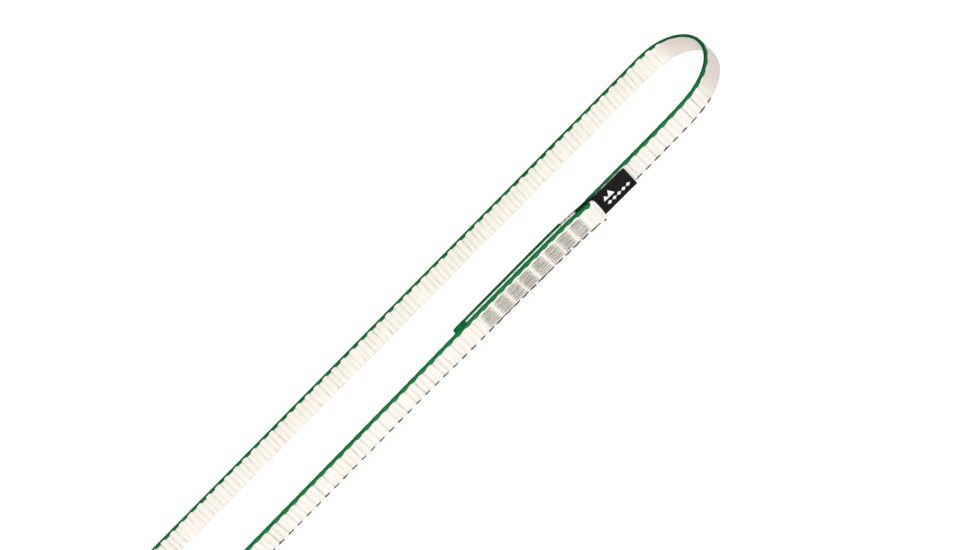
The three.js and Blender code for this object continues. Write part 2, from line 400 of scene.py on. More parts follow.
# how the strands lean and how the two cut ends are shaped
def along_shift(s, z):
    """Rib lean, and the cut ends' rounded corners, as a shift along the webbing."""
    free = smooth01(s / 6.0) * smooth01((L - s) / 6.0)
    lean = SKEW * (W / 2 - z) * free
    top = np.clip((z - (W - 2.0)) / 2.0, 0, 1) ** 2
    low = np.clip((1.8 - z) / 1.8, 0, 1) ** 2
    corner = 0.95 * np.clip((5.4 - z) / 5.4, 0, 1) ** 1.8
    cut_out = (1.1 * top + corner) * smooth01(1 - (L - s) / 6.5)
    cut_in = (0.35 * top + 0.5 * low) * smooth01(1 - s / 4.0)
    return lean - cut_out + cut_in


LEAN_IN = np.array([(131.2, 1.25), (150, 1.35), (170, 1.6), (187, 1.95), (198.4, 2.15), (205, 1.55), (213, 0.85),
                    (222, 0.6), (255, 0.6), (268, 0.6)])
LEAN_OUT = np.array([(-60, 0.0), (0, 0.25), (40, 0.35), (105, 0.4), (122, 0.9), (131.2, 1.25), (150, 1.35),
                     (170, 1.6), (187, 1.95), (199, 2.2), (202, 2.1), (205.8, 1.68), (207.3, 1.8), (209.2, 2.3),
                     (211.3, 2.45)])
S_LEAN_IN = np.array([s_at_x(tape, x, 0, 160) for x in LEAN_IN[:, 0]])
S_LEAN_IN = np.r_[S_LEAN_IN, S_LEAN_IN[-1] + 35, S_LEAN_IN[-1] + 58]
S_LEAN_IN = np.r_[S_LEAN_IN, S_LEAN_IN[-1] + 22, L / 2 - 40]
LEAN_IN = np.vstack([LEAN_IN, (0, 0.4), (0, -0.75), (0, -0.3), (0, 0.0)])
S_LEAN_OUT = np.array([s_at_x(tape, x, L - 275, L) for x in LEAN_OUT[:, 0]])


def lean_out(s, z):
    """The lower edge stands further out than the upper one at the sewn joint, most at the free end."""
    low = np.clip(1 - z / W, 0, 1)
    base = np.where(s < L / 2, np.interp(s, S_LEAN_IN, LEAN_IN[:, 1]), np.interp(s, S_LEAN_OUT, LEAN_OUT[:, 1]))
    return base * low


def edge_wave(s):
    """The sewn joint's lower edge rises a little between the stitches' pulls."""
    p = phase_of(s)
    sewn = np.maximum(in_joint(s, "out"), in_joint(s, "in"))
    return sewn * (0.16 + 0.16 * np.cos(2 * math.pi * (p - 0.62)) + 0.10 * noise1(s / 3.1, 40) + 0.02)


def place(s, n, z):
    """Row-frame points in metres: s along, n out of the loop from the centreline, z up."""
    ss = s + along_shift(s, z)
    p, t = tape.at(ss)
    out = np.stack([t[..., 1], -t[..., 0]], -1)
    nn = n + lean_out(s, z)
    xy = p + out * nn[..., None]
    z = z + edge_wave(s) * np.clip(1 - z / 2.2, 0, 1)
    return np.concatenate([xy, z[..., None]], -1) * MM


# ---------------------------------------------------------------------------------------
# row positions along the webbing
# ---------------------------------------------------------------------------------------
PHASES = np.array([0, .04, .085, .15, .21, .27, .35, .44, .52, .61, .70, .79, .85, .915, .96])


def rows_between(a, b):
    """Distances whose weave phase is one of PHASES, from a to b."""
    s = np.arange(max(a - 12, 0), min(b + 12, L) + 0.02, 0.02)
    p = phase_of(s)
    p = np.maximum.accumulate(p)
    lo, hi = int(math.floor(p[0])) - 1, int(math.ceil(p[-1])) + 1
    want = (np.arange(lo, hi)[:, None] + PHASES[None]).ravel()
    got = np.interp(want, p, s, left=-1, right=-1)
    return got[(got > a + 0.05) & (got < b - 0.05)]


JOINT_FINE = 0.42
IN_FINE_END = S_IN[-1] + 5.0
OUT_FINE_START = S_OUT[0] - 5.0

rows_in = np.arange(0, IN_FINE_END, JOINT_FINE)
rows_run = rows_between(IN_FINE_END, OUT_FINE_START)
rows_out = np.append(np.arange(OUT_FINE_START, L - 0.4, JOINT_FINE), L - 0.2)
rows_plain = rows_between(0.0, L)


def make_mesh(name, verts, faces, uvs=None, smooth=True):
    mesh = bpy.data.meshes.new(name)
    loops = np.concatenate([np.asarray(f).ravel() for f in faces])
    totals = np.concatenate([np.full(len(f), np.asarray(f).shape[1]) for f in faces])
    starts = np.r_[0, np.cumsum(totals)[:-1]]
    mesh.vertices.add(len(verts))
    mesh.vertices.foreach_set("co", np.asarray(verts, np.float32).ravel())
    mesh.loops.add(len(loops))
    mesh.loops.foreach_set("vertex_index", loops.astype(np.int32))
    mesh.polygons.add(len(totals))
    mesh.polygons.foreach_set("loop_start", starts.astype(np.int32))
    mesh.polygons.foreach_set("use_smooth", np.full(len(totals), smooth))
    if uvs is not None:
        layer = mesh.uv_layers.new(name="UVMap")
        layer.data.foreach_set("uv", np.asarray(uvs, np.float32)[loops].ravel())
    mesh.update(calc_edges=True)
    mesh.validate()
    obj = bpy.data.objects.new(name, mesh)
    scene.collection.objects.link(obj)
    return obj


def add_attribute(obj, name, values):
    a = obj.data.attributes.new(name, "FLOAT", "POINT")
    a.data.foreach_set("value", np.asarray(values, np.float32))


# ---------------------------------------------------------------------------------------
# white webbing: one closed mesh, finer where it is sewn
# ---------------------------------------------------------------------------------------
Z_COARSE = np.array([0.42, 0.9, 1.8, 3.4, 5.5, 7.6, 9.2, 10.1, 10.58])
K = 6


def refine(z):
    out = [z[0]]
    for a, b in zip(z[:-1], z[1:]):
        out += [a + (b - a) * i / K for i in range(1, K + 1)]
    return np.array(out)


Z_FINE = refine(Z_COARSE)


def half_width(depth):
    """Half thickness of the even section at a depth below either edge: the edges are rounded off."""
    return T / 2 - 0.24 * (1 - smooth01(np.maximum(depth, 0.12) / 1.4))


def cavity(s, z, side):
    """0 on the ribs, 1 in the grooves: painted shade for the colour, in the grooves, in the troughs between the soft
    ribs, between the comb ridges, and under and beside the bartacks.
    """
    p = phase_of(s)
    cell = np.floor(p).astype(int)
    if side == "out":
        c = bump(wrap(p) + 0.03 * noise1(z * 0.9 + cell * 3.1, 6), 0.085) * stitched(z, cell) * (0.75 + 0.35 * NOISE[5][cell % 4096]) * quiet(s) + 0.22 * bump(wrap(p - 0.44), 0.13) \
            * (1 + 0.9 * NOISE[8][cell % 4096])
    else:
        c = 0.62 * bump(wrap(p - 0.21), 0.10) * (0.9 + 0.4 * NOISE[5][cell % 4096]) * broken(z, cell, 44) \
            + 0.54 * bump(wrap(p - 0.79), 0.10) * (0.9 + 0.4 * NOISE[16][cell % 4096]) * broken(z, cell, 45)
    joint = in_joint(s, side)
    c = c * (1 - joint)
    marks = S_OUT if side == "out" else S_IN
    for k, m in enumerate(marks):
        dx = np.abs(s - m)
        zz = smooth01((z - TACK_LOW + 0.5) / 0.6) * smooth01((TACK_HIGH + 0.5 - z) / 0.6)
        teeth = 0.5 - 0.5 * comb(s, z, k, m)
        # painted shade between the comb ridges and along the edges of each bartack
        c = np.maximum(c, bump(dx - (TACK_HALF + 0.25), 1.35) * zz * (0.2 + teeth ** 2.4 * 2.5))
        # painted shade on the tape under and between the bartack's threads
        inside = smooth01((TACK_HALF - 0.1 - dx) / 0.4) * zz
        c = np.maximum(c, inside * 1.5)
    # painted shade in the troughs between the soft ribs
    band = 0.5 + 0.5 * np.cos(4 * math.pi * (p - (0.02 if side == "out" else 0.25)))
    c = c + (0.13 + 0.12 * NOISE[35][cell % 4096]) * band * (1 - joint)
    c = c * (1 - 0.75 * in_bend(s))
    return np.clip(c * face_window(z) * (z > 0.6) * (z < W - 0.6), 0, 2)


def webbing_rows(rows, zs):
    s = np.repeat(rows[:, None], len(zs), 1)
    z = np.repeat(zs[None], len(rows), 0)
    base = half_width(np.minimum(z, W - z))
    # the white reaches over the edge yarns wherever they are tucked away
    up_in = 0.24 * (1 - np.maximum(float_in(s), in_overlap(s))) * (z > 10.3) * (1 - pressed_down(s))
    seam = in_overlap(s) * smooth01((s - 5.5) / 1.5) * smooth01((S_IN[7] - 2 - s) / 3)
    seam_out = 0.62 * seam * smooth01((z - 9.4) / 0.9)
    seam_in = 0.12 * smooth01((s - S_OUT_OVER - 3) / 4) * smooth01((z - 9.0) / 1.2)
    up_out = 0.38 * seam * (z > 10.3) * (1 - pressed_down(s))
    low_out = -0.36 * (1 - dash_out(s)) * (z < 0.6)
    low_in = -0.36 * (z < 0.6)
    z = z - 0.5 * pressed_down(s) * smooth01((z - 8.2) / 2.0)
    out = place(s, base + seam_out + relief(s, z, "out"), z + low_out + up_out)
    inn = place(s, -(base + seam_in + relief(s, z, "in")), z + up_in + low_in)
    ring = np.concatenate([out, inn[:, ::-1]], 1)
    cav = np.concatenate([cavity(s, z, "out"), cavity(s, z, "in")[:, ::-1]], 1)
    u = np.concatenate([s, s], 1)
    v = np.concatenate([z, (2 * W - z)[:, ::-1]], 1)
    flat = np.zeros_like(z)
    # painted shade in the bends (positive) and painted light on the white strip between the two green edges at the sewn
    # joint (negative)
    painted_bend_seam = np.concatenate([-seam * smooth01((z - 9.2) / 0.4), flat], 1) + in_bend(rows)[:, None]
    cav = np.stack([cav, painted_bend_seam], -1)
    return ring, cav, np.stack([u / 100.0, v / 100.0], -1)


def grid_faces(first, n_rows, m):
    """Quads between rows of a closed ring, wound to face out for rings that go up the outside."""
    i = np.arange(n_rows - 1)[:, None] * m + first
    j = np.arange(m)[None]
    k = (j + 1) % m
    return np.stack([i + j, i + m + j, i + m + k, i + k], -1).reshape(-1, 4)


def build_webbing():
    parts = [webbing_rows(rows_in, Z_FINE), webbing_rows(rows_run, Z_COARSE), webbing_rows(rows_out, Z_FINE)]
    mf, mc = 2 * len(Z_FINE), 2 * len(Z_COARSE)
    counts = [len(rows_in), len(rows_run), len(rows_out)]
    verts = np.concatenate([p[0].reshape(-1, 3) for p in parts])
    cav = np.concatenate([p[1].reshape(-1, 2) for p in parts])
    uvs = np.concatenate([p[2].reshape(-1, 2) for p in parts])
    o0, o1, o2 = 0, counts[0] * mf, counts[0] * mf + counts[1] * mc
    faces = [grid_faces(o0, counts[0], mf), grid_faces(o1, counts[1], mc), grid_faces(o2, counts[2], mf)]
    nc, nf = len(Z_COARSE), len(Z_FINE)

    def stitch(fine_first, coarse_first, fine_before):
        wide, plain = [], []
        for side in range(2):
            for j in range(nc - 1):
                c0, c1 = coarse_first + side * nc + j, coarse_first + side * nc + j + 1
                f = [fine_first + side * nf + j * K + q for q in range(K + 1)]
                if fine_before:
                    wide.append([f[0], c0, c1] + f[:0:-1])
                else:
                    wide.append([c0] + f + [c1])
        for a, b in ((nc - 1, nf - 1), (2 * nc - 1, 2 * nf - 1)):
            a2, b2 = (a + 1) % mc, (b + 1) % mf
            ca, cb, fa, fb = coarse_first + a, coarse_first + a2, fine_first + b, fine_first + b2
            plain.append([fa, ca, cb, fb] if fine_before else [ca, fa, fb, cb])
        return np.array(wide), np.array(plain)

    w, p = stitch(o0 + (counts[0] - 1) * mf, o1, True)
    faces += [w, p]
    w, p = stitch(o2, o1 + (counts[1] - 1) * mc, False)
    faces += [w, p]
    # cut ends: rings drawn in to a short middle line, slightly domed, as a hot knife leaves them
    new_v, new_c, new_uv = [], [], []
    base = len(verts)
    for first, sign in ((o0, -1), (o2 + (counts[2] - 1) * mf, 1)):
        ring = verts[first:first + mf]
        s_end = 0.0 if sign < 0 else L
        mid = 0.5 * (ring[:nf] + ring[nf:][::-1])
        _, t = tape.at(np.array([s_end]))
        ahead = np.array([t[0, 0], t[0, 1], 0]) * sign * MM
        prev = np.arange(first, first + mf)
        for shrink, push in ((0.62, 0.16), (0.12, 0.22)):
            both = np.concatenate([mid, mid[::-1]])
            r = both + (ring - both) * shrink
            r = r + ahead * push * (1.0 if sign < 0 else 0.4)
            idx = base + len(new_v) * 0 + sum(len(x) for x in new_v) + np.arange(mf)
            new_v.append(r)
            new_c.append(np.full((mf, 2), (0.15, 0.0)))
            new_uv.append(uvs[first:first + mf])
            j = np.arange(mf)
            k = (j + 1) % mf
            q = np.stack([prev[j], idx[j], idx[k], prev[k]], -1)
            faces.append(q if sign > 0 else q[:, ::-1])
            prev = idx
        # close the middle: outside half to inside half
        a, b = prev[:nf], prev[nf:][::-1]
        q = np.stack([a[:-1], b[:-1], b[1:], a[1:]], -1)
        faces.append(q if sign > 0 else q[:, ::-1])
    verts = np.concatenate([verts] + new_v)
    cav = np.concatenate([cav] + new_c)
    uvs = np.concatenate([uvs] + new_uv)
    obj = make_mesh("webbing", verts, faces, uvs)
    add_attribute(obj, "cavity", cav[:, 0])
    add_attribute(obj, "bend_shade_seam_light", cav[:, 1])
    return obj


# ---------------------------------------------------------------------------------------
# green selvedges
# ---------------------------------------------------------------------------------------
def selvedge_ring(s, upper):
    """Section of the coloured edge yarn as (out of the loop, depth below the edge, tone), outside lip first. The tone
    is painted shade and light with some random variation: darker in the crease and along the top, lighter on the lips
    and where the yarn dips; the upper yarn is also darker in the bends, in the label's shadow past its fold and where
    the outer layer lies against it.
    """
    p = phase_of(s)
    cell = np.floor(p + 0.4).astype(int)
    puff = 0.03 * np.cos(2 * math.pi * (p - 0.1)) + 0.03 * noise1(s / 1.7, 24)
    zero = 0 * s
    if upper:
        hidden = in_overlap(s)
        dip = smooth01((0.25 - np.abs(wrap(p - 0.1))) / 0.2 + 0.5)
        ho = 0.61 - 0.04 * in_bend(s) + (0.36 + 0.10 * NOISE[20][cell % 4096]) * dip
        ho = ho * (1 - hidden) + (0.17 + 0.06 * dip) * hidden
        flap = smooth01((s - S_LABEL_A) / 6) * smooth01((S_LABEL_B - s) / 3)
        ho = ho * (1 - flap) + (0.26 + 0.13 * dip) * flap
        q = np.maximum(float_in(s), 0.8 * hidden)
        hi = 0.10 + (0.60 + 0.14 * NOISE[22][cell % 4096]) * float_in(s) * (1 - 0.85 * in_joint(s, "out"))
        bend = in_bend(s)
        hi = hi + 0.12 * bend
        edge_i = 0.54 + (half_width(hi) + 0.10 - 0.54) * np.maximum(q, bend)
        # the yarn narrows towards the outer layer's cut end
        left = np.clip((L - 1.35 - s) / 2.4, 0, 1)
        ho = (ho + 0.22 * bump(left - 0.95, 0.6)) * (0.25 + 0.75 * np.sqrt(left))
    else:
        q = dash_out(s)
        ho = 0.12 + (0.34 + 0.12 * NOISE[21][cell % 4096] - in_joint(s, "out") * (0.02 + 0.10 * np.cos(2 * math.pi * (p - 0.62)))) * q
        hi = 0.30 + zero
        edge_i = 0.10 + zero
    if upper:
        def body(d):
            return half_width(d) + 0.09 + puff * 0.5
    else:
        def body(d):
            return 0.28 + (half_width(d) + 0.22 - 0.28) * q
    lift = zero if upper else 0.20 * (1 - q)
    # third column: tone, painted shade in the crease (0.35) and along the top (0.25 to 0.5), lighter on the lips
    pts = [
        (body(ho) - 0.12, ho + 0.08, 0.6),
        (body(ho) + 0.00, ho - 0.02, 0.75),
        (body(ho * 0.75) + 0.04, ho * 0.74, 1.0),
        (body(ho * 0.5) + 0.00, ho * 0.50 + lift * 0.5, 0.35),
        (body(ho * 0.28) + 0.03, ho * 0.28 + lift, 0.95),
        (body(zero) * 0.98, 0.06 - puff * 0.3 + lift, 0.8),
        (body(zero) * 0.55, -0.02 - puff * 0.7 + lift, 0.5),
        (-edge_i * 0.35, -0.01 - puff * 0.6 + lift, 0.25),
        (-edge_i * 0.88, 0.03 + hi * 0.05 + lift, 0.30),
        (-edge_i - 0.03, hi * 0.36 + 0.03 + lift, 0.85),
        (-edge_i - 0.03, hi * 0.75 + 0.02 + lift, 0.9),
        (-edge_i + 0.00, hi + lift, 0.6),
        (-edge_i + 0.12, hi + 0.08 + lift, 0.5),
        (-0.02 + zero, 0.95 + zero, 0.5),
        (0.22 + zero, 0.95 + zero, 0.5),
    ]
    n = np.stack([a + zero for a, _, _ in pts], 1)
    d = np.stack([b + zero for _, b, _ in pts], 1)
    tone = np.stack([c + zero for _, _, c in pts], 1)
    # painted light and shade along the weave, lighter where the yarn dips, plus random variation
    tone = tone + 0.12 * np.cos(2 * math.pi * (p - 0.1))[:, None] + 0.10 * noise1(s / 2.3, 27)[:, None]
    if upper:
        # painted shade: darker in the bends, in the label's shadow past its fold, and where the outer layer lies
        # against the inner one
        shaded = smooth01((s - S_FOLD_B + 0.5) / 1.0) * smooth01((S_SHADE_B - s) / 4.0)
        tone = tone - (0.22 * in_bend(s) + 0.62 * shaded + 0.16 * in_overlap(s) * smooth01((s - 8) / 4))[:, None]
    return n, d, tone


def build_selvedge(name, upper, start, end, rows):
    s1 = rows[(rows > start + 0.15) & (rows < end - 0.15)]
    s1 = np.concatenate([[start], s1, [end]])
    n, d, tone = selvedge_ring(s1, upper)
    m = n.shape[1]
    s = np.repeat(s1[:, None], m, 1)
    # ends: melted down to a blunt, rounded tip
    tip = np.minimum(s1 - start, end - s1)
    taper = np.sqrt(np.clip(tip / 0.6, 0.0, 1)) * 0.4 + 0.6
    n = n * taper[:, None]
    depth_mid = 0.45
    d = depth_mid + (d - depth_mid) * taper[:, None]
    if upper:
        # inner layer's cut end: the yarn is melted across to the outer layer
        blob = smooth01((7.2 - s1) / 1.7)
        d = d + (0.45 * pressed_down(s1))[:, None] * (d < 0.9)
        n = n + (n > 0.3) * (0.42 * in_overlap(s1) * (1 - blob) - 0.75 * under_fold(s1))[:, None]
        n = n + (n > 0.3) * (blob * 1.15)[:, None] + ((n > 0.02) & (n <= 0.3)) * (blob * 0.5)[:, None]
        d = d - (blob * 0.10)[:, None] * (d < 0.3) + (blob * 0.5)[:, None] * ((n > 1.0) & (d > 0.1))
    z = (W - d) if upper else d
    pts = place(s, n, np.clip(z, 0.0, 12))
    ring = pts if upper else pts[:, ::-1]
    verts = ring.reshape(-1, 3)
    around = np.cumsum(np.ones(m)) - 1
    uv = np.stack([s / 100.0, np.repeat(around[None] * 0.28 / 100.0, len(s1), 0)], -1)
    uv = (uv if upper else uv[:, ::-1]).reshape(-1, 2)
    faces = [grid_faces(0, len(s1), m)]
    first, last = np.arange(m), (len(s1) - 1) * m + np.arange(m)
    faces.append(first[None])
    faces.append(last[None, ::-1])
    obj = make_mesh(name, verts, faces, uv)
    add_attribute(obj, "yarn_tone_painted_shade", (tone if upper else tone[:, ::-1]).ravel())
    return obj


# ---------------------------------------------------------------------------------------
# bartack threads
# ---------------------------------------------------------------------------------------
def tube(points, radius, sides=8, name="tube", seed=0):
    """A closed round tube along points (mm array), with UVs: u along, v around."""
    p = np.asarray(points, float)
    t = np.gradient(p, axis=0)
    t /= np.linalg.norm(t, axis=1)[:, None]
    ref = np.array([0.0, 1.0, 0.0])
    a = np.cross(t, ref)
    a /= np.linalg.norm(a, axis=1)[:, None]
    b = np.cross(t, a)
    ang = np.arange(sides) * 2 * math.pi / sides
    r = np.broadcast_to(np.asarray(radius), (len(p),))[:, None, None]
    ring = p[:, None] + r * (a[:, None] * np.cos(ang)[None, :, None] + b[:, None] * np.sin(ang)[None, :, None])
    s = np.r_[0, np.cumsum(np.linalg.norm(np.diff(p, axis=0), axis=1))]
    uv = np.stack([np.repeat(s[:, None], sides, 1) / 100, np.repeat(ang[None] / (2 * math.pi), len(p), 0) * 0.015], -1)
    return ring, uv


def thread_path(seed, passes=11):
    """Zigzag in the plane of the face: x along the webbing, y out of the face, z up."""
    r = np.random.default_rng(1000 + seed)
    z0, z1 = TACK_LOW + 0.1, TACK_HIGH - 0.1
    pitch = (z1 - z0) / passes
    out = []
    half = TACK_HALF
    knots = z0 + pitch * np.arange(passes + 1)
    knots[1:-1] += r.uniform(-0.14, 0.14, passes - 1)
    ends = half + r.uniform(-0.30, 0.18, passes + 1)
    for k in range(passes):
        a = -1 if k % 2 == 0 else 1
        n = 13
        u = np.linspace(0, 1, n)
        x = a * (ends[k] + (-ends[k + 1] - ends[k]) * u)
        bow = r.uniform(-0.09, 0.09)
        z = knots[k] + (knots[k + 1] - knots[k]) * (0.25 * u + 0.75 * smooth01((u - 0.72) / 0.28)) \
            + bow * np.sin(math.pi * u) + r.uniform(0.01, 0.05) * np.sin(2 * math.pi * u * r.uniform(1.0, 1.8) + r.uniform(0, 6))
        rise = 0.12 + r.uniform(-0.10, 0.10)
        y = rise - (rise + 0.45) * np.abs(2 * u - 1) ** 5 + 0.04 * np.sin(7 * u + r.uniform(0, 6))
        seg = np.stack([x, y, z], 1)
        out.append(seg if k == 0 else seg[1:])
    return np.concatenate(out)


def build_thread(name, k, needle):
    marks = S_OUT if needle else S_IN
    c = marks[k]
    path = thread_path(2 * k + (0 if needle else 1))
    ring, uv = tube(path, 0.27)
    local = ring.reshape(-1, 3)
    # bend the flat patch on to the webbing's face
    sgn = 1.0 if needle else -1.0
    sunk = -0.20
    s = c + local[:, 0]
    n = sgn * (T / 2 + sunk + local[:, 1])
    p, t = tape.at(s)
    o = np.stack([t[:, 1], -t[:, 0]], -1)
    xy = p + o * (n + sgn * 0 + lean_out(s, local[:, 2]))[:, None]
    verts = np.concatenate([xy, local[:, 2:3]], 1) * MM
    m = 8
    rows = ring.shape[0]
    f = grid_faces(0, rows, m)
    caps = [np.arange(m)[None], ((rows - 1) * m + np.arange(m))[None, ::-1]]
    faces = [f] + caps
    obj = make_mesh(name, verts, faces, uv.reshape(-1, 2))
    r = np.random.default_rng(500 + 2 * k + int(needle))
    tone = r.uniform(-1, 1, 12)
    add_attribute(obj, "pass_tone", np.repeat(tone[np.minimum(np.arange(rows) // 12, 11)], m))
    return obj


# ---------------------------------------------------------------------------------------
# label
# ---------------------------------------------------------------------------------------
LABEL_LOW, LABEL_HIGH, LABEL_T = 0.0, 11.7, 0.28
LABEL_LEAN = np.array([(194.0, 2.1), (200, 2.2), (205, 1.9), (211, 0.9), (216, 0.25), (229, 0.1)])
S_LABEL_LEAN = np.array([s_at_x(label_line, x, 0, label_line.length) for x in LABEL_LEAN[:, 0]])
LABEL_TOP = np.array([(194.0, 0.0), (200.5, 0.0), (201.7, 0.75), (204, 0.55), (207, 0.35), (211, 0.1), (213, 0.0), (229, 0.0)])
S_LABEL_TOP = np.array([s_at_x(label_line, x, 0, label_line.length) for x in LABEL_TOP[:, 0]])
FOLD_END = 7.9         # the tail's first stretch is melted over the inner layer's edge


def label_lean(s, z):
    return np.interp(s, S_LABEL_LEAN, LABEL_LEAN[:, 1]) * np.clip(1 - z / W, 0, 1)


def build_label():
    ll = label_line.length
    us = np.concatenate([np.linspace(0, ll, 190)])
    zs = np.concatenate([np.linspace(0, 0.86, 44), np.linspace(0.86, 1, 20)[1:]])
    nz = len(zs)
    s = np.repeat(us[:, None], nz, 1)
    f = np.repeat(zs[None], len(us), 0)
    # rounded corners of the free end, and of the tail's cut end
    r = 0.55
    edge = np.minimum(s, ll - s)
    inset = np.where(edge < r, r - np.sqrt(np.clip(r * r - (r - edge) ** 2, 0, None)), 0)
    z = (LABEL_LOW + inset) + f * (LABEL_HIGH - LABEL_LOW - 2 * inset)
    curl = 0.22 * smooth01((s - (ll - 6)) / 6) * (2 * f - 1) ** 2 + 0.06 * np.sin(s / 3.1) * smooth01((s - 17) / 6)
    thick = LABEL_T / 2 * (1 - 0.35 * smooth01(1 - edge / 0.3)) * (1 - 0.5 * (np.abs(2 * f - 1) > 0.985))
    wv = 0.012 * np.cos(2 * math.pi * s / 0.42) * np.cos(2 * math.pi * z / 0.5)
    fold = smooth01((FOLD_END - s) / 0.7)
    sink = np.interp(s, S_LABEL_TOP, LABEL_TOP[:, 1])
    z = np.minimum(z, LABEL_HIGH - sink * smooth01((z - 8) / 3.7))
    over = np.clip((f - 0.86) / 0.14, 0, 1)
    shift = -1.75 * over * fold
    top = 10.1 + 0.75 * np.sin(0.5 * math.pi * np.minimum(over * 2.4, 1)) + 0.06 * np.sin(s * 2.3 + over * 3)
    z = np.where(over > 0, z * (1 - fold) + top * fold, np.minimum(z, z * (1 - fold) + np.minimum(z, 10.2) * fold))
    p, t = label_line.at(s)
    o = np.stack([t[..., 1], -t[..., 0]], -1)
    lean = label_lean(s, z)

    def side(sign):
        up_side = sign * (thick + wv)
        flat = fold * smooth01((over - 0.15) / 0.3)
        xy = p + o * (curl + lean + shift + up_side * (1 - flat))[..., None]
        return np.concatenate([xy, (z + up_side * flat)[..., None]], -1) * MM

    a, b = side(1), side(-1)
    ring = np.concatenate([a, b[:, ::-1]], 1)
    m = 2 * nz
    verts = ring.reshape(-1, 3)
    uv = np.stack([np.concatenate([s, s], 1) / 100, np.concatenate([z, (24 - z)[:, ::-1]], 1) / 100], -1).reshape(-1, 2)
    faces = [grid_faces(0, len(us), m)]
    for first, sign in ((0, -1), ((len(us) - 1) * m, 1)):
        aa = first + np.arange(nz)
        bb = first + np.arange(nz, 2 * nz)[::-1]
        q = np.stack([aa[:-1], bb[:-1], bb[1:], aa[1:]], -1)
        faces.append(q if sign > 0 else q[:, ::-1])
    obj = make_mesh("woven_label", verts, faces, uv)
    melt = fold * smooth01(over / 0.12)
    line = fold * bump(over - 0.44 - 0.02 * np.sin(s * 2.1), 0.30) * (0.92 + 0.2 * np.sin(s * 3.1))
    for name, values in (("melted", melt), ("scorch", line)):
        add_attribute(obj, name, np.concatenate([values, values[:, ::-1]], 1).ravel())
    return obj


def on_label(s, z, off):
    p, t = label_line.at(s)
    o = np.stack([t[..., 1], -t[..., 0]], -1)
    ll = label_line.length
    f = (z - LABEL_LOW) / (LABEL_HIGH - LABEL_LOW)
    curl = 0.22 * smooth01((s - (ll - 6)) / 6) * (2 * f - 1) ** 2 + 0.06 * np.sin(s / 3.1) * smooth01((s - 17) / 6)
    xy = p + o * (curl + label_lean(s, z) + LABEL_T / 2 + off)[..., None]
    return np.concatenate([xy, z[..., None]], -1) * MM


def build_mark():
    """A plain woven device: two peaks over a row of lozenges, in white weft."""
    polys = []
    s0 = s_at_x(label_line, 213.6, 0, label_line.length)

    def lozenge(cs, cz, w, h):
        polys.append([(cs - w / 2, cz), (cs, cz - h / 2), (cs + w / 2, cz), (cs, cz + h / 2)])

    for k in range(5):
        lozenge(s0 + 1.5 + 2.62 * k, 3.35, 2.45, 2.0)
    polys.append([(s0 - 0.2, 5.5), (s0 + 2.7, 5.5), (s0 + 1.3, 8.0)])
    polys.append([(s0 + 2.2, 5.5), (s0 + 5.8, 5.5), (s0 + 4.0, 9.2)])
    verts, faces, uvs = [], {3: [], 4: []}, []
    n = 7
    for poly in polys:
        poly = np.array(poly, float)
        c = poly.mean(0)
        k = len(poly)
        rings = []
        for shrink, off in ((1.0, -0.05), (0.97, 0.035), (0.80, 0.055)):
            pts = []
            for i in range(k):
                a, b = poly[i], poly[(i + 1) % k]
                for q in range(n):
                    pts.append(a + (b - a) * q / n)
            pts = c + (np.array(pts) - c) * shrink
            base = len(verts)
            w = on_label(pts[:, 0], pts[:, 1], off + 0 * pts[:, 0])
            verts.extend(w)
            uvs.extend(pts / 100)
            rings.append(base + np.arange(len(pts)))
        mcount = len(rings[0])
        for r0, r1 in zip(rings[:-1], rings[1:]):
            for i in range(mcount):
                j = (i + 1) % mcount
                faces[4].append([r0[i], r0[j], r1[j], r1[i]])
        base = len(verts)
        verts.extend(on_label(c[None, 0], c[None, 1], np.array([0.06])))
        uvs.append(c / 100)
        for i in range(mcount):
            j = (i + 1) % mcount
            faces[3].append([rings[-1][i], rings[-1][j], base])
        # back, hidden in the label
        base = len(verts)
        verts.extend(on_label(c[None, 0], c[None, 1], np.array([-0.05])))
        uvs.append(c / 100)
        for i in range(mcount):
            j = (i + 1) % mcount
            faces[3].append([rings[0][j], rings[0][i], base])
    return make_mesh("label_device", np.array(verts), [np.array(faces[4]), np.array(faces[3])], np.array(uvs))


